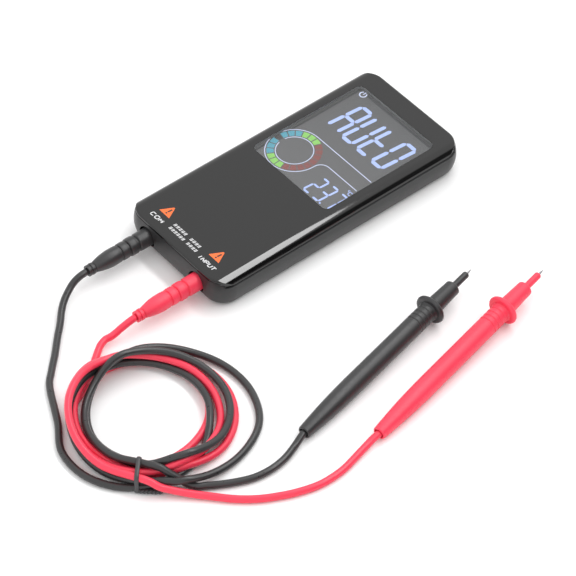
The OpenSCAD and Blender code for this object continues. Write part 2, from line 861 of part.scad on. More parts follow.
module handle() {
    rear = handle_rear_diameter / 2;
    body = handle_diameter / 2;
    guard_near = guard_place - guard_thickness / 2;
    guard_far = guard_place + guard_thickness / 2;
    guard = guard_diameter / 2;
    edge = guard_thickness / 2;
    rotate_extrude() polygon([
        [0, cord_socket_depth],
        [cord_diameter / 2 + 0.6, cord_socket_depth],
        [cord_diameter / 2 + 0.6, 0],
        [rear - 0.3, 0],
        for (k = [0:8]) let (t = k / 8) [rear + (body - rear) * (2 * t - t * t), 0.4 + t * (taper_end - 0.4)],
        for (i = [0:3]) let (g = groove_start + 2.6 * i) each [
            [body, g], [body - 0.35, g + 0.35], [body - 0.35, g + 0.75], [body, g + 1.1]
        ],
        [body, guard_near - 1],
        [body + 0.4, guard_near],
        for (a = [-90:30:90]) [guard - edge + edge * cos(a), guard_place + edge * sin(a)],
        [nose_diameter / 2 + 0.3, guard_far],
        [nose_diameter / 2, guard_far + 0.6],
        for (a = [0:22.5:90]) [
            nose_end_diameter / 2 - nose_round + nose_round * cos(a),
            handle_length - nose_round + nose_round * sin(a)
        ],
        [tip_sleeve_diameter / 2 + 0.03, handle_length],
        [tip_sleeve_diameter / 2 + 0.03, handle_length - 6],
        [0, handle_length - 6]
    ]);
}

module com_handle() { color("#303133") on_probe(com_probe_place) handle(); }
module input_handle() { color("#f0405c") on_probe(input_probe_place) handle(); }

module tip_sleeve() {
    radius = tip_sleeve_diameter / 2;
    bore = needle_diameter / 2 + 0.03;
    far = handle_length + tip_sleeve_length;
    rotate_extrude() polygon([
        [bore, handle_length - 5.9],
        [radius, handle_length - 5.9],
        for (a = [0:22.5:90]) [bore + 0.2 + (radius - bore - 0.2) * cos(a), far - 1 + sin(a)],
        [bore, far]
    ]);
}

module com_tip_sleeve() { color("#303133") on_probe(com_probe_place) tip_sleeve(); }
module input_tip_sleeve() { color("#f0405c") on_probe(input_probe_place) tip_sleeve(); }

module needle() {
    tip = handle_length + tip_sleeve_length + needle_length;
    rotate_extrude() polygon([
        [0, handle_length - 5.8], [needle_diameter / 2, handle_length - 5.8],
        [needle_diameter / 2, tip - 2], [0.12, tip], [0, tip]
    ]);
}

module com_needle() { color("#c8ccd0") on_probe(com_probe_place) needle(); }
module input_needle() { color("#c8ccd0") on_probe(input_probe_place) needle(); }

rear_case();
front_panel();
display_window();
display_glass();
light_guide();
display_frame();
contact_strips();
main_board();
measuring_chip();
processor_chip();
crystal();
input_resistors();
ptc_thermistor();
buzzer();
jack_block();
com_jack();
input_jack();
left_battery();
right_battery();
battery_springs();
battery_contacts();
battery_door();
door_screw();
case_screws();
button_switches();
power_button();
function_button();
hold_button();
com_plug();
input_plug();
com_pin();
input_pin();
com_cord_plug_end();
com_cord_probe_end();
input_cord_plug_end();
input_cord_probe_end();
lead_coil();
wire_tie();
com_handle();
input_handle();
com_tip_sleeve();
input_tip_sleeve();
com_needle();
input_needle();
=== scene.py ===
"""Looks of a slim digital multimeter with a coiled pair of test leads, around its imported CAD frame.

Metres in the row frame: the meter lies on its back on z = 0, its display end towards +Y. Sizes that
part.scad also states are written here in millimetres and scaled by MM.
"""

import json
import math

import bmesh
import bpy
import numpy as np
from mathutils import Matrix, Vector


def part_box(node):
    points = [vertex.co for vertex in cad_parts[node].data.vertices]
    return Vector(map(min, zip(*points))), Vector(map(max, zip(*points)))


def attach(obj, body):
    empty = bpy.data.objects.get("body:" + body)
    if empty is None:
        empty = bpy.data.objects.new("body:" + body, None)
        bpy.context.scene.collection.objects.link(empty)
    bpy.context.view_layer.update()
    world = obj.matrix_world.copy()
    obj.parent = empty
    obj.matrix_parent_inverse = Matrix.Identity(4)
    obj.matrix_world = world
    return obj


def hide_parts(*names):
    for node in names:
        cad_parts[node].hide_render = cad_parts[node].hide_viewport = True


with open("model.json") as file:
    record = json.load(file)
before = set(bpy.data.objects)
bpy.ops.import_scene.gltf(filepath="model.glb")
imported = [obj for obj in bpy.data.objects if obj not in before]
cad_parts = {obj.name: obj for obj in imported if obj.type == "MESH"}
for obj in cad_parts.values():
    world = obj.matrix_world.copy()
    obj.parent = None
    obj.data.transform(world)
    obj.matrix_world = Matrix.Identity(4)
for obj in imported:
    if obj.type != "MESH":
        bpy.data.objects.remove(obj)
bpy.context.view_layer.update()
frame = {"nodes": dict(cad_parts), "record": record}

MM = 0.001


# ---- Camera ----

VIEW_AZIMUTH = math.radians(50.66)
VIEW_ELEVATION = math.radians(47.19)
VIEW_DISTANCE = 1.39615
VIEW_TARGET = Vector((0.04254, -0.04022, 0.0))
VIEW_LENS = 187.25


def make_camera():
    data = bpy.data.cameras.new("camera")
    data.sensor_width = 36
    data.lens = VIEW_LENS
    data.clip_start, data.clip_end = 0.05, 20
    cam = bpy.data.objects.new("camera", data)
    bpy.context.scene.collection.objects.link(cam)
    back = Vector(
        (
            math.sin(VIEW_AZIMUTH) * math.cos(VIEW_ELEVATION),
            -math.cos(VIEW_AZIMUTH) * math.cos(VIEW_ELEVATION),
            math.sin(VIEW_ELEVATION),
        )
    )
    cam.location = VIEW_TARGET + back * VIEW_DISTANCE
    cam.rotation_mode = "QUATERNION"
    cam.rotation_quaternion = (-back).to_track_quat("-Z", "Y")
    bpy.context.scene.camera = cam


make_camera()


# ---- Materials ----


class Nodes:
    """A material's node tree with short calls for the nodes used here."""

    def __init__(self, name):
        self.mat = bpy.data.materials.new(name)
        self.mat.use_nodes = True
        self.tree = self.mat.node_tree
        self.shader = self.tree.nodes["Principled BSDF"]
        self.output = self.tree.nodes["Material Output"]

    def add(self, kind, **values):
        node = self.tree.nodes.new(kind)
        for key, value in values.items():
            if key in node.inputs:
                node.inputs[key].default_value = value
            else:
                setattr(node, key, value)
        return node

    def link(self, a, b):
        self.tree.links.new(a, b)

    def place(self, scale=(1, 1, 1)):
        """Coordinates in metres that move with the piece, stretched by scale."""
        coords = self.add("ShaderNodeTexCoord")
        mapping = self.add("ShaderNodeMapping")
        mapping.inputs["Scale"].default_value = scale
        self.link(coords.outputs["Object"], mapping.inputs["Vector"])
        return mapping.outputs["Vector"]

    def noise(self, scale, detail=3.0, roughness=0.55, stretch=(1, 1, 1)):
        node = self.add("ShaderNodeTexNoise", Scale=scale, Detail=detail, Roughness=roughness)
        self.link(self.place(stretch), node.inputs["Vector"])
        return node.outputs["Fac"]

    def between(self, fac, low, high, start=0.3, end=0.7):
        """A number from low to high as fac goes from start to end."""
        node = self.add("ShaderNodeMapRange")
        for key, value in zip(("From Min", "From Max", "To Min", "To Max"), (start, end, low, high)):
            node.inputs[key].default_value = value
        self.link(fac, node.inputs["Value"])
        return node.outputs["Result"]

    def blend(self, fac, a, b):
        """A colour between a and b."""
        node = self.add("ShaderNodeMix", data_type="RGBA")
        node.inputs["A"].default_value = (*a, 1)
        node.inputs["B"].default_value = (*b, 1)
        self.link(fac, node.inputs["Factor"])
        return node.outputs["Result"]

    def bump(self, height, strength, distance=0.0001):
        node = self.add("ShaderNodeBump", Strength=strength, Distance=distance)
        self.link(height, node.inputs["Height"])
        self.link(node.outputs["Normal"], self.shader.inputs["Normal"])
        return node

    def set(self, **values):
        for key, value in values.items():
            name = key.replace("_", " ")
            self.shader.inputs[name].default_value = (*value, 1) if isinstance(value, tuple) else value


def moulded(name, colour, rough, grain=1800, depth=0.25, tint=0.12, **more):
    """Moulded plastic or rubber: fine grain in its relief, slow drift in its colour and gloss."""
    m = Nodes(name)
    m.set(Base_Color=colour, Roughness=rough, **more)
    slow = m.noise(60, 2)
    fine = m.noise(grain, 2, 0.5)
    low = tuple(c * (1 - tint) for c in colour)
    high = tuple(min(1, c * (1 + tint)) for c in colour)
    m.link(m.blend(m.between(slow, 0, 1), low, high), m.shader.inputs["Base Color"])
    m.link(m.between(fine, rough * 0.9, min(1, rough * 1.12)), m.shader.inputs["Roughness"])
    m.bump(fine, depth, 0.00004)
    return m.mat


def metal(name, colour, rough, stretch=(1, 1, 30)):
    """Turned or plated metal with fine marks along one direction."""
    m = Nodes(name)
    m.set(Base_Color=colour, Metallic=1.0)
    marks = m.noise(900, 4, 0.6, stretch)
    m.link(m.between(marks, rough * 0.7, rough * 1.4), m.shader.inputs["Roughness"])
    low = tuple(c * 0.86 for c in colour)
    m.link(m.blend(m.between(marks, 0, 1), low, colour), m.shader.inputs["Base Color"])
    m.bump(marks, 0.08, 0.00002)
    return m.mat


def gloss(name, near, far, rough=0.04):
    """High-gloss black, its colour lighter from the jack end to the display end as a painted reflection, with
    a random haze in its gloss and a faint wave in its surface.
    """
    m = Nodes(name)
    m.set(IOR=1.57)
    coords = m.add("ShaderNodeTexCoord")
    split = m.add("ShaderNodeSeparateXYZ")
    m.link(coords.outputs["Object"], split.inputs[0])
    # painted reflection: the base colour goes from near at the jack end to far at the display end
    along = m.between(split.outputs["Y"], 0, 1, -0.07, 0.07)
    m.link(m.blend(along, near, far), m.shader.inputs["Base Color"])
    haze = m.noise(110, 4, 0.6)
    m.link(m.between(haze, rough, rough * 1.8), m.shader.inputs["Roughness"])
    m.bump(m.noise(45, 1), 0.02, 0.0001)
    return m.mat


def lit(name, colour, strength, dim=0.85):
    """A lit segment of the display, its glow a little uneven at random."""
    m = Nodes(name)
    m.set(Base_Color=tuple(c * 0.3 for c in colour), Roughness=0.4)
    fade = m.between(m.noise(420, 1), dim, 1)
    m.set(Emission_Color=colour)
    scaled = m.add("ShaderNodeMath", operation="MULTIPLY")
    scaled.inputs[1].default_value = strength
    m.link(fade, scaled.inputs[0])
    m.link(scaled.outputs[0], m.shader.inputs["Emission Strength"])
    return m.mat


def ink(name, colour):
    """Screen-printed ink, slightly uneven."""
    m = Nodes(name)
    m.set(Roughness=0.45)
    speck = m.noise(2600, 2)
    thin = tuple(c * 0.82 for c in colour)
    m.link(m.blend(m.between(speck, 0, 1, 0.25, 0.6), thin, colour), m.shader.inputs["Base Color"])
    m.bump(speck, 0.1, 0.00002)
    return m.mat


def window_clear():
    """Clear window: a gloss coat over what lies behind it, without bending the light."""
    m = Nodes("window_clear")
    clear = m.add("ShaderNodeBsdfTransparent", Color=(0.93, 0.94, 0.95, 1))
    coat = m.add("ShaderNodeBsdfAnisotropic")
    coat.inputs["Color"].default_value = (1, 1, 1, 1)
    coat.inputs["Roughness"].default_value = 0.03
    edge = m.add("ShaderNodeFresnel", IOR=1.5)
    side = m.add("ShaderNodeNewGeometry")
    front = m.between(side.outputs["Backfacing"], 1, 0, 0, 1)
    fac = m.add("ShaderNodeMath", operation="MULTIPLY")
    m.link(edge.outputs[0], fac.inputs[0])
    m.link(front, fac.inputs[1])
    mix = m.add("ShaderNodeMixShader")
    m.link(fac.outputs[0], mix.inputs[0])
    m.link(clear.outputs[0], mix.inputs[1])
    m.link(coat.outputs[0], mix.inputs[2])
    m.link(mix.outputs[0], m.output.inputs["Surface"])
    m.bump(m.noise(30, 1), 0.01, 0.0001)
    return m.mat


def display_back():
    """Unlit display: warm dark grey with the faintest grain, and painted shade that makes it darker towards
    the display end and lighter towards the jack end.
    """
    m = Nodes("display_back")
    m.set(Roughness=0.35)
    grain = m.noise(1500, 2)
    coords = m.add("ShaderNodeTexCoord")
    split = m.add("ShaderNodeSeparateXYZ")
    m.link(coords.outputs["Object"], split.inputs[0])
    # painted shade: the colour darkens from the jack end towards the display end
    along = m.between(split.outputs["Y"], 1.0, 0.0, -0.005, 0.063)
    lighter = m.blend(along, (0.107, 0.104, 0.102), (0.152, 0.147, 0.143))
    mottle = m.add("ShaderNodeMix", data_type="RGBA", blend_type="MULTIPLY")
    mottle.inputs["Factor"].default_value = 0.25
    m.link(lighter, mottle.inputs["A"])
    m.link(grain, mottle.inputs["B"])
    m.link(mottle.outputs["Result"], m.shader.inputs["Base Color"])
    m.bump(grain, 0.03, 0.00002)
    return m.mat


BLACK = (0.018, 0.018, 0.0185)
RED = (0.88, 0.042, 0.088)

MATERIALS = {
    "case_plastic": moulded("case_plastic", BLACK, 0.36, 2600, 0.3),
    "gloss_panel": gloss("gloss_panel", (0.002, 0.002, 0.002), (0.006, 0.006, 0.006)),
    "window": window_clear(),
    "display": display_back(),
    "pale_plastic": moulded("pale_plastic", (0.75, 0.77, 0.77), 0.5),
    "contact_rubber": moulded("contact_rubber", (0.4, 0.3, 0.3), 0.7),
    "board": moulded("board", (0.02, 0.16, 0.07), 0.3, 900, 0.15, 0.3),
    "chip_plastic": moulded("chip_plastic", (0.025, 0.025, 0.026), 0.5),
    "plated_steel": metal("plated_steel", (0.66, 0.66, 0.65), 0.25),
    "resistor_lacquer": moulded("resistor_lacquer", (0.08, 0.22, 0.42), 0.25),
    "brass": metal("brass", (0.78, 0.58, 0.25), 0.2),
    "cell_can": moulded("cell_can", (0.1, 0.26, 0.4), 0.25),
    "screw_steel": metal("screw_steel", (0.45, 0.45, 0.45), 0.3, (1, 1, 1)),
    "button_plastic": moulded("button_plastic", (0.05, 0.051, 0.054), 0.45, 2600, 0.35),
    "black_lead": moulded("black_lead", (0.028, 0.028, 0.029), 0.36, 1500, 0.35),
    "red_lead": moulded("red_lead", RED, 0.42, 1500, 0.35, 0.05),
    "black_cord": moulded("black_cord", (0.03, 0.03, 0.031), 0.3, 500, 0.03),
    "red_cord": moulded("red_cord", RED, 0.33, 500, 0.03, 0.05),
    "tie_plastic": moulded("tie_plastic", (0.045, 0.045, 0.048), 0.38),
    "needle_steel": metal("needle_steel", (0.33, 0.33, 0.34), 0.3),
}


def finish_piece(obj, slot, body):
    """Gives a piece the material named by its slot, and its body."""
    obj.data.materials.clear()
    obj.data.materials.append(MATERIALS[slot])
    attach(obj, body)
    return obj


def new_mesh(name, points, faces):
    mesh = bpy.data.meshes.new(name)
    mesh.from_pydata([tuple(p) for p in points], [], faces)
    mesh.update()
    obj = bpy.data.objects.new(name, mesh)
    bpy.context.scene.collection.objects.link(obj)
    return obj


# ---- Cords ----

CORD = 3.5
FLOOR_LINE = 1.8  # height of a cord's middle where it lies on the floor
COIL_CENTRE = np.array((64.0, -137.7))
COIL_REACH = 60  # no strand of the coil lies further out than this

# The straight stretches repeat part.scad's route points.
COM_PLUG_ROUTE = [
    (-18.6, -110.7, 8.6), (-18.4, -115.7, 8.2), (-17.5, -120.7, 6.6), (-14.5, -126.7, 4.2),
    (-10.5, -131.7, 2.4), (-5, -136.7, 1.8), (1, -142.7, 1.8), (8.5, -149.7, 1.8),
    (16, -157.2, 1.8), (23, -163.2, 1.8),
]
COM_PROBE_ROUTE = [
    (109.5, -149.7, 5), (113, -144.7, 3.6), (116, -139.7, 2.6), (119.5, -132.7, 1.8),
    (122.5, -124.7, 1.8), (123.5, -115.7, 1.8), (122.5, -107.2, 1.8), (120, -99.7, 2.4),
    (117.5, -92.6, 3.7),
]
INPUT_PLUG_ROUTE = [
    (18.6, -110.7, 8.6), (18.4, -114.7, 7.8), (17.8, -119.7, 5.6), (17.6, -125.2, 3.4),
    (18.4, -131.2, 1.9),
]
INPUT_PROBE_ROUTE = [
    (108, -154.2, 2.7), (117.5, -146.2, 1.8), (126, -138.7, 1.8), (133, -130.2, 1.8),
    (138.5, -120.2, 1.8), (141.5, -112.7, 1.8), (143.5, -105.2, 1.8), (144, -97.7, 1.8),
    (143.5, -90.7, 1.8), (142, -83.7, 1.8), (140.5, -77.2, 2.2), (139.4, -71.7, 3),
    (139, -67.1, 3.7),
]

# Coil: each cord goes round anticlockwise from its start to COIL_END, in degrees. Every turn is a round loop,
# given by its radius and by where its middle lies from the coil's centre along X and Y. A turn blends into
# the next one and starts a strand higher, and settle() then lets it down onto what lies below it.
COIL_STEP = 30
COIL_END = 1035
COM_COIL_START = -135
COM_TURNS = ((34, 2, -11), (40, 7, 6), (31, 3, 4), (32, 4, -3))
COM_LIFT = 0.5
INPUT_COIL_START = -165
INPUT_TURNS = ((30, -3, -4), (36, 2, 2), (35, 0, -4), (32, 5, -7))
INPUT_LIFT = 0.0


def coil_points(start, turns, lift):
    """Points of a cord's turns in the coil. lift, in strands, keeps the two cords from starting level."""
    middles = [k + 0.5 for k in range(len(turns))]
    radii, shifts_x, shifts_y = zip(*turns)
    out = []
    for angle in range(start, COIL_END + 1, COIL_STEP):
        done = (angle - start) / 360
        a = math.radians(angle)
        radius = np.interp(done, middles, radii)
        x = COIL_CENTRE[0] + np.interp(done, middles, shifts_x) + radius * math.cos(a)
        y = COIL_CENTRE[1] + np.interp(done, middles, shifts_y) + radius * math.sin(a)
        up = done + lift * min(1, 4 * done)
        out.append((x, y, FLOOR_LINE + CORD * up))
    return out


def curve_through(points, spacing):
    """A smooth line through the points, cut into steps of about spacing."""
    pts = np.asarray(points, float)
    ext = np.vstack([2 * pts[0] - pts[1], pts, 2 * pts[-1] - pts[-2]])
    out = []
    for i in range(1, len(ext) - 2):
        a, b, c, d = ext[i - 1 : i + 3]
        n = max(1, int(round(np.linalg.norm(c - b) / spacing)))
        for k in range(n):
            t = k / n
            square = 2 * a - 5 * b + 4 * c - d
            cube = 3 * b - a - 3 * c + d
            out.append(0.5 * (2 * b + (c - a) * t + square * t**2 + cube * t**3))
    out.append(ext[-2])
    return np.array(out)


def settle(lines, gap, floor, held, rounds=260):
    """Lets cords lie on each other: strands that cross move apart up and down, strands side by side move
    apart along the floor, each sinks as far as it can, and bends are eased. The first and last held points
    stay."""
    sizes = [len(line) for line in lines]
    pts = np.vstack(lines)
    cord = np.repeat(np.arange(len(lines)), sizes)
    index = np.concatenate([np.arange(n) for n in sizes])
    free = np.concatenate([(np.arange(n) >= held) & (np.arange(n) < n - held) for n in sizes])
    near = (cord[:, None] == cord[None, :]) & (abs(index[:, None] - index[None, :]) < 10)
    pairs_i, pairs_j = np.where(np.triu(~near, 1))
    close = np.hypot(*(pts[pairs_i, :2] - pts[pairs_j, :2]).T) < 3 * gap
    pairs_i, pairs_j = pairs_i[close], pairs_j[close]
    above = np.sign(pts[pairs_i, 2] - pts[pairs_j, 2] + 1e-6)
    beside = abs(pts[pairs_i, 2] - pts[pairs_j, 2]) < 0.3 * gap
    inner = np.where(free)[0]
    laid = pts.copy()
    for turn in range(rounds):
        pts[free, 2] -= 0.06 * gap * max(0, 1 - 1.4 * turn / rounds)
        moved = pts - laid
        moved[:, 2] = pts[:, 2]
        pts[inner] += ((moved[inner - 1] + moved[inner + 1]) / 2 - moved[inner]) * 0.35
        d = pts[pairs_i] - pts[pairs_j]
        flat = np.hypot(d[:, 0], d[:, 1])
        short = gap - np.sqrt(flat**2 + d[:, 2] ** 2)
        hit = (flat < gap) & ((short > 0) | (above * d[:, 2] < 0))
        side = hit & beside & (short > 0)
        over = hit & ~beside
        push = np.zeros_like(pts)
        share = np.zeros(len(pts))
        need = np.sqrt(np.maximum(gap**2 - flat[over] ** 2, 0)) - above[over] * d[over, 2]
        lift = above[over] * np.maximum(need, 0) / 2
        np.add.at(push[:, 2], pairs_i[over], lift)
        np.add.at(push[:, 2], pairs_j[over], -lift)
        away = d[side, :2] / np.maximum(flat[side], 1e-6)[:, None] * (short[side] / 2)[:, None]
        np.add.at(push, (pairs_i[side], slice(0, 2)), away)
        np.add.at(push, (pairs_j[side], slice(0, 2)), -away)
        for k, s in ((pairs_i, over | side), (pairs_j, over | side)):
            np.add.at(share, k[s], 1)
        pts[free] += (push / np.maximum(share, 1)[:, None])[free] * 0.8
        pts[:, 2] = np.maximum(pts[:, 2], floor)
    cuts = np.cumsum(sizes)[:-1]
    return np.split(pts, cuts)


# Direction of both probes, from the cord end to the needle. A probe lies on the floor with its finger guard,
# and its cord end is at the height of its route's last point. SOCKET_DEPTH is how deep the cord goes into it.
GUARD_DIAMETER = 15.3
GUARD_CLEAR = 0.08
GUARD_PLACE = 109 - 17.3
PROBE_AZIMUTH = math.radians(101.1)
PROBE_TILT = math.asin((GUARD_DIAMETER / 2 + GUARD_CLEAR - COM_PROBE_ROUTE[-1][2]) / GUARD_PLACE)
PROBE_DIRECTION = np.array(
    (
        math.cos(PROBE_TILT) * math.cos(PROBE_AZIMUTH),
        math.cos(PROBE_TILT) * math.sin(PROBE_AZIMUTH),
        math.sin(PROBE_TILT),
    )
)
SOCKET_DEPTH = 3.9
STRAND_GAP = CORD + 0.05
HELD_POINTS = 6
COARSE_STEP = 2.5
FINE_STEP = 1.3


def tube(name, line, radius, sides=20):
    """A round tube along a line in millimetres, with closed ends."""
    line = np.asarray(line)
    points, faces = [], []
    across = None
    for i, p in enumerate(line):
        along = line[min(i + 1, len(line) - 1)] - line[max(i - 1, 0)]
        along = along / np.linalg.norm(along)
        if across is None:
            across = np.cross(along, (0.0, 0.0, 1.0))
        across = across - along * across.dot(along)
        across = across / np.linalg.norm(across)
        up = np.cross(across, along)
        for k in range(sides):
            a = 2 * math.pi * k / sides
            points.append((p + radius * (math.cos(a) * across + math.sin(a) * up)) * MM)
    for i in range(len(line) - 1):
        for k in range(sides):
            m = (k + 1) % sides
            faces.append((i * sides + k, (i + 1) * sides + k, (i + 1) * sides + m, i * sides + m))
    faces.append(tuple(range(sides)))
    faces.append(tuple((len(line) - 1) * sides + k for k in reversed(range(sides))))
    obj = new_mesh(name, points, faces)
    for f in obj.data.polygons:
        f.use_smooth = len(f.vertices) == 4
    return obj


def make_leads():
    com_place, input_place = np.array(COM_PROBE_ROUTE[-1]), np.array(INPUT_PROBE_ROUTE[-1])
    com = COM_PLUG_ROUTE + coil_points(COM_COIL_START, COM_TURNS, COM_LIFT) + COM_PROBE_ROUTE
    inp = INPUT_PLUG_ROUTE + coil_points(INPUT_COIL_START, INPUT_TURNS, INPUT_LIFT) + INPUT_PROBE_ROUTE
    com = curve_through(com + [tuple(com_place + SOCKET_DEPTH * PROBE_DIRECTION)], COARSE_STEP)
    inp = curve_through(inp + [tuple(input_place + SOCKET_DEPTH * PROBE_DIRECTION)], COARSE_STEP)
    com, inp = settle([com, inp], STRAND_GAP, FLOOR_LINE, HELD_POINTS)
    made = {}
    for who, line, slot in (("com", com, "black_cord"), ("input", inp, "red_cord")):
        line = curve_through(line, FINE_STEP)
        obj = tube(f"{who}_cord", line, CORD / 2)
        finish_piece(obj, slot, "test_leads")
        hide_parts(f"{who}_cord_plug_end", f"{who}_cord_probe_end", "lead_coil")
        made[who] = (obj, line)
    return made


leads = make_leads()

# The tie is a flat wire. It stands across the coil in this direction from the coil's centre, in degrees.
TIE_ANGLE = -45
TIE_LEAN = 0.02
TIE_GAP = 0.45  # from a strand's skin to the middle of the wire
TIE_WIDE, TIE_THICK = 1.05, 0.5  # half sizes of the wire
TIE_LOW = 0.55
TIE_SIDES = 12
TAIL_LENGTH = 11
TAIL_TWISTS = 3.2
TAIL_RADIUS = 0.6
TAIL_SPREAD = 0.55


def crossings(line):
    """Where a cord crosses the tie's upright plane: distance from the coil's centre, and height."""
    out_way = np.array((math.cos(math.radians(TIE_ANGLE)), math.sin(math.radians(TIE_ANGLE))))
    flat = line[:, :2] - COIL_CENTRE
    side = flat[:, 0] * out_way[1] - flat[:, 1] * out_way[0]
    reach = flat @ out_way
    found = []
    for i in range(len(line) - 1):
        if side[i] * side[i + 1] < 0 and 0 < reach[i] < COIL_REACH:
            t = side[i] / (side[i] - side[i + 1])
            height = line[i][2] + t * (line[i + 1][2] - line[i][2])
            found.append((reach[i] + t * (reach[i + 1] - reach[i]), height))
    return found


def hull(points):
    """The outer corners of a set of flat points, anticlockwise."""
    points = sorted(set(points))
    halves = []
    for run in (points, points[::-1]):
        part = []
        for p in run:
            while len(part) > 1 and (part[-1][0] - part[-2][0]) * (p[1] - part[-2][1]) <= (
                part[-1][1] - part[-2][1]
            ) * (p[0] - part[-2][0]):
                part.pop()
            part.append(p)
        halves += part[:-1]
    return halves


def make_tie():
    """A flat wire tie drawn round all the strands, its two ends twisted together beside the coil."""
    rim = CORD / 2 + TIE_GAP
    around = []
    for _, line in leads.values():
        for reach, z in crossings(line):
            for a in (math.radians(degrees) for degrees in range(0, 360, 15)):
                around.append((round(reach + rim * math.cos(a), 4), round(z + rim * math.sin(a), 4)))
    loop = np.array([(r, max(z, TIE_LOW)) for r, z in hull(around)])
    outer = loop[:, 0].max()
    way = math.radians(TIE_ANGLE)
    out_way = np.array((math.cos(way), math.sin(way), 0))
    along = np.array((-math.sin(way), math.cos(way), 0))
    middle = np.array((*COIL_CENTRE, 0))
    points = [middle + r * out_way + (0, 0, z) + along * TIE_LEAN * (r - outer) for r, z in loop]
    points = curve_through(points + points[:1], 0.5)
    band, faces, sides = [], [], TIE_SIDES
    count = len(points) - 1
    for i in range(count):
        ahead = points[(i + 1) % count] - points[i - 1]
        ahead = ahead / np.linalg.norm(ahead)
        wide = along - ahead * float(along @ ahead)
        wide = wide / np.linalg.norm(wide)
        thick = np.cross(ahead, wide)
        for k in range(sides):
            a = 2 * math.pi * k / sides
            band.append((points[i] + TIE_WIDE * math.cos(a) * wide + TIE_THICK * math.sin(a) * thick) * MM)
    for i in range(count):
        for k in range(sides):
            m, n = (k + 1) % sides, (i + 1) % count
            faces.append((i * sides + k, i * sides + m, n * sides + m, n * sides + k))
    loop_piece = new_mesh("tie_loop", band, faces)
    start = middle + (outer - 0.4) * out_way + np.array((0, 0, 1.5)) + along * 0.3
    tails = []
    for turn in (0, math.pi):
        line = []
        for i in range(61):
            t = i / 60
            spin = turn + 2 * math.pi * TAIL_TWISTS * t
            across = out_way * math.cos(spin) + np.array((0, 0, 1)) * math.sin(spin)
            spread = TAIL_SPREAD * min(1, 8 * t) * across
            line.append(start + along * TAIL_LENGTH * t - out_way * 0.6 * t * t + spread)
        tails.append(tube(f"tie_tail_{len(tails)}", np.array(line), TAIL_RADIUS, TIE_SIDES))
    bpy.ops.object.select_all(action="DESELECT")
    for obj in [loop_piece, *tails]:
        obj.select_set(True)
    bpy.context.view_layer.objects.active = loop_piece
    bpy.ops.object.join()
    for f in loop_piece.data.polygons:
        f.use_smooth = True
    loop_piece.name = "twist_tie"
    finish_piece(loop_piece, "tie_plastic", "test_leads")
    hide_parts("wire_tie")


make_tie()


# ---- Case, buttons, plugs and screws ----


def smooth_copy(node, slot, body, angle=32, edge=0.0):
    """A smooth-shaded piece with a CAD node's exact shape, its edges softened by edge millimetres."""
    source = frame["nodes"][node]
    bm = bmesh.new()
    bm.from_mesh(source.data)
    bm.transform(source.matrix_world)
    bmesh.ops.remove_doubles(bm, verts=bm.verts, dist=0.002 * MM)
    for e in bm.edges:
        e.smooth = len(e.link_faces) == 2 and e.calc_face_angle(3) < math.radians(angle)
    for f in bm.faces:
        f.smooth = True
    mesh = bpy.data.meshes.new(f"{node}_skin")
    bm.to_mesh(mesh)
    bm.free()
    obj = bpy.data.objects.new(f"{node}_skin", mesh)
    bpy.context.scene.collection.objects.link(obj)
    if edge:
        bevel = obj.modifiers.new("edges", "BEVEL")
        bevel.width = edge * MM
        bevel.segments = 2
        bevel.limit_method = "ANGLE"
        bevel.angle_limit = math.radians(angle)
        bevel.harden_normals = True
    weights = obj.modifiers.new("normals", "WEIGHTED_NORMAL")
    weights.keep_sharp = True
    finish_piece(obj, slot, body)
    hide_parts(node)
    return obj


for node, slot, body, angle, edge in (
    ("rear_case", "case_plastic", "meter", 32, 0),
    ("front_panel", "gloss_panel", "meter", 32, 0),
    ("battery_door", "case_plastic", "meter", 32, 0.12),
    ("power_button", "button_plastic", "power_key", 32, 0.25),
    ("function_button", "button_plastic", "function_key", 32, 0.25),
    ("hold_button", "button_plastic", "hold_key", 32, 0.25),
    ("com_plug", "black_lead", "test_leads", 40, 0.1),
    ("input_plug", "red_lead", "test_leads", 40, 0.1),
    ("case_screws", "screw_steel", "meter", 30, 0),
    ("door_screw", "screw_steel", "meter", 30, 0),
):
    smooth_copy(node, slot, body, angle, edge)


# ---- Display ----

WINDOW_LOW, WINDOW_HIGH = (Vector(v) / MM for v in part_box("display_window"))
GLASS_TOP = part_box("display_glass")[1].z / MM
PRINT_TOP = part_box("front_panel")[1].z / MM


def flat_piece(name, shapes, z, material, thickness=0.04):
    """Thin flat shapes, each a closed line of (x, y) in millimetres, lying on height z."""
    points, faces = [], []
    for shape in shapes:
        n, base = len(shape), len(points)
        for lift in (0, thickness):
            points += [(x * MM, y * MM, (z + lift) * MM) for x, y in shape]
        faces.append(tuple(range(base + n, base + 2 * n)))
        faces.append(tuple(range(base + n - 1, base - 1, -1)))
        for k in range(n):
            m = (k + 1) % n
            faces.append((base + k, base + m, base + n + m, base + n + k))
    obj = new_mesh(name, points, faces)
    obj.data.materials.append(material)
    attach(obj, "meter")


def strip(line, width, closed=False):
    """A flat band of that width along a line of (x, y)."""
    line = [np.array(p, float) for p in line]
    left, right = [], []
    for i, p in enumerate(line):
        a = line[i - 1] if i or closed else line[0]
        b = line[(i + 1) % len(line)] if i < len(line) - 1 or closed else line[-1]
        along = (b - a) / np.linalg.norm(b - a)
        out = np.array((-along[1], along[0])) * width / 2
        left.append(tuple(p + out))
        right.append(tuple(p - out))
    return right + left[::-1]


def arc(centre, radius, start, end, steps):
    """Points of an arc from start to end, in degrees."""
    points = []
    for k in range(steps + 1):
        a = math.radians(start + (end - start) * k / steps)
        points.append((centre[0] + radius * math.cos(a), centre[1] + radius * math.sin(a)))
    return points


SEGMENTS = {  # each segment's two ends, in half widths and half heights from the digit's centre
    "a": ((-1, 1), (1, 1)),
    "b": ((1, 1), (1, 0)),
    "c": ((1, 0), (1, -1)),
    "d": ((-1, -1), (1, -1)),
    "e": ((-1, 0), (-1, -1)),
    "f": ((-1, 1), (-1, 0)),
    "g": ((-1, 0), (1, 0)),
}


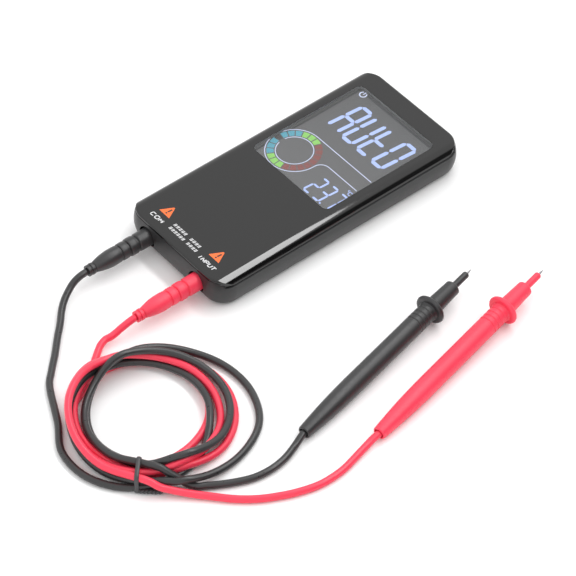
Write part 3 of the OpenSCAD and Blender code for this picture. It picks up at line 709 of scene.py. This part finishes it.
def digit(centre, half_wide, half_high, thick, slant, lit_segments):
    """Bars of a seven-segment digit with pointed ends, leaning by slant."""
    shapes = []
    for s in lit_segments:
        (x0, y0), (x1, y1) = SEGMENTS[s]
        a = np.array((x0 * half_wide, y0 * half_high))
        b = np.array((x1 * half_wide, y1 * half_high))
        along = (b - a) / np.linalg.norm(b - a)
        out = np.array((-along[1], along[0]))
        gap, point = 0.05 * thick + 0.06, 0.5 * thick
        bar = [
            a + along * gap,
            a + along * (gap + point) + out * thick / 2,
            b - along * (gap + point) + out * thick / 2,
            b - along * gap,
            b - along * (gap + point) - out * thick / 2,
            a + along * (gap + point) - out * thick / 2,
        ]
        shapes.append([(centre[0] + p[0] + slant * p[1], centre[1] + p[1]) for p in bar][::-1])
    return shapes


PALE = (0.43, 0.53, 0.90)
LIT = {
    "pale": lit("lit_pale", PALE, 1.05),
    "line": lit("lit_line", (0.62, 0.66, 0.84), 1.0),
    "teal": lit("lit_teal", (0.075, 0.33, 0.42), 1.0),
    "green": lit("lit_green", (0.25, 0.58, 0.11), 1.0),
    "red": lit("lit_red", (0.24, 0.06, 0.05), 0.9),
    "unlit": lit("lit_off", (0.07, 0.06, 0.06), 0.6),
}
# painted shadow: a dark band on the display where the window's edge shades it
SHADOW_BAND = moulded("display_shadow_band", (0.028, 0.028, 0.028), 0.4, 1500, 0.05)
LINING = moulded("window_lining", (0.2, 0.2, 0.2), 0.5, 1500, 0.05)
WINDOW_RADIUS = 3.0


def window_border():
    """Dark painted shadow bands on the display at the window's far and left edges, and the lining of its
    opening.
    """
    (x0, y0), (x1, y1) = (c[:2] for c in (WINDOW_LOW, WINDOW_HIGH))
    r = WINDOW_RADIUS
    corners = ((x1 - r, y1 - r, 0), (x0 + r, y1 - r, 90), (x0 + r, y0 + r, 180), (x1 - r, y0 + r, 270))
    rim = [p for cx, cy, a in corners for p in arc((cx, cy), r + 0.025, a, a + 90, 10)]
    points = [(x * MM, y * MM, z * MM) for z in (GLASS_TOP + 0.02, PRINT_TOP - 0.03) for x, y in rim]
    n = len(rim)
    faces = [(k, (k + 1) % n, n + (k + 1) % n, n + k) for k in range(n)]
    lining = new_mesh("window_lining", points, faces)
    lining.data.materials.append(LINING)
    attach(lining, "meter")
    # painted shadow bands along the display's far edge and left edge
    top = [(x0 + 0.4, y1 - 2.2), (x1 - 0.4, y1 - 2.2), (x1 - 0.4, y1 - 0.9), (x0 + 0.4, y1 - 0.9)]
    left = [(x0 + 0.9, y0 + 0.4), (x0 + 2.1, y0 + 0.4), (x0 + 2.1, y1 - 2.3), (x0 + 0.9, y1 - 2.3)]
    flat_piece("display_shadow_band", [top, left], GLASS_TOP, SHADOW_BAND, 0.02)


window_border()

# The word on the display and, below it, the temperature's three digits, each as its lit segments
LETTERS = ("abcefg", "bcdef", "defg", "abcdef")
DIGITS = ("abdeg", "abcdg", "abc")
reading = []
for i, segments in enumerate(LETTERS):
    reading += digit((-13.5 + 10.85 * i, 44.4), 3.45, 10.4, 2.05, 0.08, segments)
flat_piece("reading_large", reading, GLASS_TOP, LIT["pale"])

small = []
for i, segments in enumerate(DIGITS):
    small += digit((11.1 + 6.7 * i, 2.9), 2.0, 6.0, 1.1, 0.07, segments)
small.append(arc((20.9, -3.1), 0.5, 0, 330, 10))
small.append(strip(arc((23.7, 12.7), 0.45, 0, 330, 12), 0.28))
small.append(strip(arc((25.5, 11.7), 1.05, 45, 315, 14), 0.4))
flat_piece("reading_small", small, GLASS_TOP, LIT["pale"])

RING = (-13.9, 10.1)
RING_OUTER, RING_INNER = 14.35, 9.25
CELL_STEP = 17.3
CELL_START = 165
CELL_GAP = 1.8  # half the gap between two cells, in degrees
CELL_KINDS = 3 * ["teal"] + 3 * ["green"] + 8 * ["red"] + 3 * ["green"] + 3 * ["teal"] + ["unlit"]
cells = {"teal": [], "green": [], "red": [], "unlit": []}
half = CELL_STEP / 2 - CELL_GAP
for i, kind in enumerate(CELL_KINDS):
    middle = CELL_START - CELL_STEP * i
    cells[kind].append(
        arc(RING, RING_INNER + 0.75, middle - half, middle + half, 6)[::-1]
        + arc(RING, RING_OUTER - 0.85, middle - half - 0.6, middle + half + 0.6, 6)
    )
for kind, shapes in cells.items():
    flat_piece(f"ring_cells_{kind}", [s[::-1] for s in shapes], GLASS_TOP, LIT[kind])

LINE_HIGH, LINE_LOW, LINE_END = RING[1] + RING_OUTER, 15.4, 25.9
BEND = 5.0
bend_y = LINE_LOW - BEND
bend_x = RING[0] + math.sqrt((RING_OUTER + BEND) ** 2 - (bend_y - RING[1]) ** 2)
meet = math.degrees(math.atan2(bend_y - RING[1], bend_x - RING[0]))
outline_low = (
    [(LINE_END, LINE_LOW)]
    + arc((bend_x, bend_y), BEND, 90, 180 + meet, 12)
    + arc(RING, RING_OUTER, meet, -168, 60)[1:]
)
outline_high = arc(RING, RING_OUTER, 170, 90, 30) + [(LINE_END, LINE_HIGH)]
inner_line = arc(RING, RING_INNER, 171, -167, 72)
flat_piece(
    "ring_lines",
    [strip(line, 0.42) for line in (outline_low, outline_high, inner_line)],
    GLASS_TOP,
    LIT["line"],
)

POWER_ICON = (-22.6, 60.6)
flat_piece(
    "power_icon",
    [
        strip(arc(POWER_ICON, 1.75, 125, 415, 26), 0.6),
        strip([(POWER_ICON[0], 60.7), (POWER_ICON[0], 62.6)], 0.6),
    ],
    GLASS_TOP,
    LIT["line"],
)


# ---- Printing on the front panel ----

WHITE_INK = ink("white_ink", (0.75, 0.75, 0.76))
ORANGE_INK = ink("orange_ink", (0.95, 0.17, 0.03))
DARK_INK = ink("dark_ink", (0.02, 0.015, 0.015))

GLYPHS = {  # strokes of the plain capitals used, on a cell one wide and one high
    "C": [[(0.95, 0.9), (0.75, 1), (0.2, 1), (0, 0.82), (0, 0.18), (0.2, 0), (0.75, 0), (0.95, 0.1)]],
    "O": [[(0.2, 1), (0.8, 1), (1, 0.82), (1, 0.18), (0.8, 0), (0.2, 0), (0, 0.18), (0, 0.82), (0.2, 1)]],
    "M": [[(0, 0), (0, 1), (0.5, 0.35), (1, 1), (1, 0)]],
    "I": [[(0.5, 0), (0.5, 1)]],
    "N": [[(0, 0), (0, 1), (1, 0), (1, 1)]],
    "P": [[(0, 0), (0, 1), (0.75, 1), (0.95, 0.85), (0.95, 0.6), (0.75, 0.45), (0, 0.45)]],
    "U": [[(0, 1), (0, 0.2), (0.2, 0), (0.8, 0), (1, 0.2), (1, 1)]],
    "T": [[(0, 1), (1, 1)], [(0.5, 1), (0.5, 0)]],
}


def word(text, left, low, wide, high, pitch, slant=0.2, stroke=0.52):
    """Slanted capitals, each stroke a flat band."""
    shapes = []
    for i, letter in enumerate(text):
        for line in GLYPHS[letter]:
            placed = [(left + pitch * i + wide * x + slant * high * y, low + high * y) for x, y in line]
            shapes += [strip(list(pair), stroke) for pair in zip(placed, placed[1:])]
    return shapes


# Two rows of plain bars stand for the rating lines: each row's lower edge, and its two stretches from left to
# right.
BAR_ROWS = ((-66.3, ((-10.2, -1.2), (2.0, 8.8))), (-69.2, ((-10.2, 0.2), (3.0, 10.6))))
BAR_HIGH = 1.7
BAR_PITCH = 1.9

labels = word("COM", -23.3, -69.9, 2.1, 1.9, 3.0) + word("INPUT", 12.6, -70.1, 1.8, 1.9, 2.45)
for low, stretches in BAR_ROWS:
    for left, right in stretches:
        x = left
        while x < right:
            labels.append(strip([(x, low), (x + 0.35, low + BAR_HIGH)], 0.36))
            labels.append(strip([(x + 0.75, low), (x + 1.1, low + BAR_HIGH)], 0.5))
            x += BAR_PITCH
flat_piece("labels", labels, PRINT_TOP, WHITE_INK, 0.02)

MARK_X, MARK_Y = 18.65, -65.0  # the middle of a warning mark's lower edge
for side, name in ((-1, "mark_left"), (1, "mark_right")):
    x, y = MARK_X * side, MARK_Y
    tri = [(x - 3.75, y - 0.1), (x + 3.65, y - 0.1), (x + 0.35, y + 6.1), (x - 0.35, y + 6.1)]
    flat_piece(name, [tri], PRINT_TOP, ORANGE_INK, 0.02)
    flat_piece(
        f"{name}_sign",
        [arc((x, y + 1.15), 0.5, 0, 330, 10), strip([(x, y + 2.0), (x + 0.3, y + 4.5)], 0.9)],
        PRINT_TOP + 0.02,
        DARK_INK,
        0.02,
    )


# ---- The rest of the CAD nodes ----

hidden = {n for n in frame["nodes"] if frame["nodes"][n].hide_render}
slots = {s["node"]: s["material_slot"] for s in frame["record"]["subparts"]}
for node, obj in frame["nodes"].items():
    if node in hidden:
        continue
    obj.data.materials.clear()
    obj.data.materials.append(MATERIALS[slots[node]])


# ---- Each cord's piece and line, looked up ----

for who, exit_point, length in (("com", COM_PLUG_ROUTE[0], 0.895), ("input", INPUT_PLUG_ROUTE[0], 0.875)):
    obj, line = leads[who]


# ---- Floor and light ----

FLOOR_SIZE = 12.0
FLOOR_DROP = 0.00002  # keeps the floor just below what stands on it
DARK_SIDE = (0.86, 0.43, 0.3)  # the unlit side of the studio
DARK_FADE = (0.76, 0.93, 1.15, 0.06)  # from and to cosine, world strength outside and inside it
SOFTBOX_PLACE = (0.42, 0.6, 1.4)
SOFTBOX_AIM = (0.42, 0.0, 1.4)
SOFTBOX_SIZE = (2.0, 0.44)
SOFTBOX_POWER = 26


def floor_material():
    m = Nodes("floor")
    m.set(Roughness=0.75)
    grain = m.noise(25, 2)
    pale = m.blend(m.between(grain, 0, 1), (0.955, 0.955, 0.955), (0.97, 0.97, 0.97))
    m.link(pale, m.shader.inputs["Base Color"])
    return m.mat


def make_floor():
    half = FLOOR_SIZE / 2
    corners = [(-half, -half, 0), (half, -half, 0), (half, half, 0), (-half, half, 0)]
    obj = new_mesh("floor", corners, [(0, 1, 2, 3)])
    obj.location.z = -FLOOR_DROP
    obj.data.materials.append(floor_material())


def area_light(name, place, aim, size, power):
    data = bpy.data.lights.new(name, "AREA")
    data.shape = "RECTANGLE"
    data.size, data.size_y = size
    data.energy = power
    obj = bpy.data.objects.new(name, data)
    bpy.context.scene.collection.objects.link(obj)
    obj.location = place
    obj.rotation_mode = "QUATERNION"
    obj.rotation_quaternion = (Vector(aim) - Vector(place)).to_track_quat("-Z", "Y")


def make_light():
    """A white studio that is dark on one side, and one softbox for the strip of light along the panel."""
    world = bpy.data.worlds.new("studio")
    bpy.context.scene.world = world
    world.use_nodes = True
    tree = world.node_tree
    back = tree.nodes["Background"]
    back.inputs["Color"].default_value = (1, 1, 1, 1)
    coords = tree.nodes.new("ShaderNodeTexCoord")
    toward = tree.nodes.new("ShaderNodeVectorMath")
    toward.operation = "DOT_PRODUCT"
    toward.inputs[1].default_value = Vector(DARK_SIDE).normalized()
    shade = tree.nodes.new("ShaderNodeMapRange")
    shade.interpolation_type = "SMOOTHSTEP"
    for key, value in zip(("From Min", "From Max", "To Min", "To Max"), DARK_FADE):
        shade.inputs[key].default_value = value
    tree.links.new(coords.outputs["Generated"], toward.inputs[0])
    tree.links.new(toward.outputs["Value"], shade.inputs["Value"])
    tree.links.new(shade.outputs["Result"], back.inputs["Strength"])
    area_light("softbox", SOFTBOX_PLACE, SOFTBOX_AIM, SOFTBOX_SIZE, SOFTBOX_POWER)


make_floor()
make_light()
bpy.context.scene.view_settings.view_transform = "Standard"
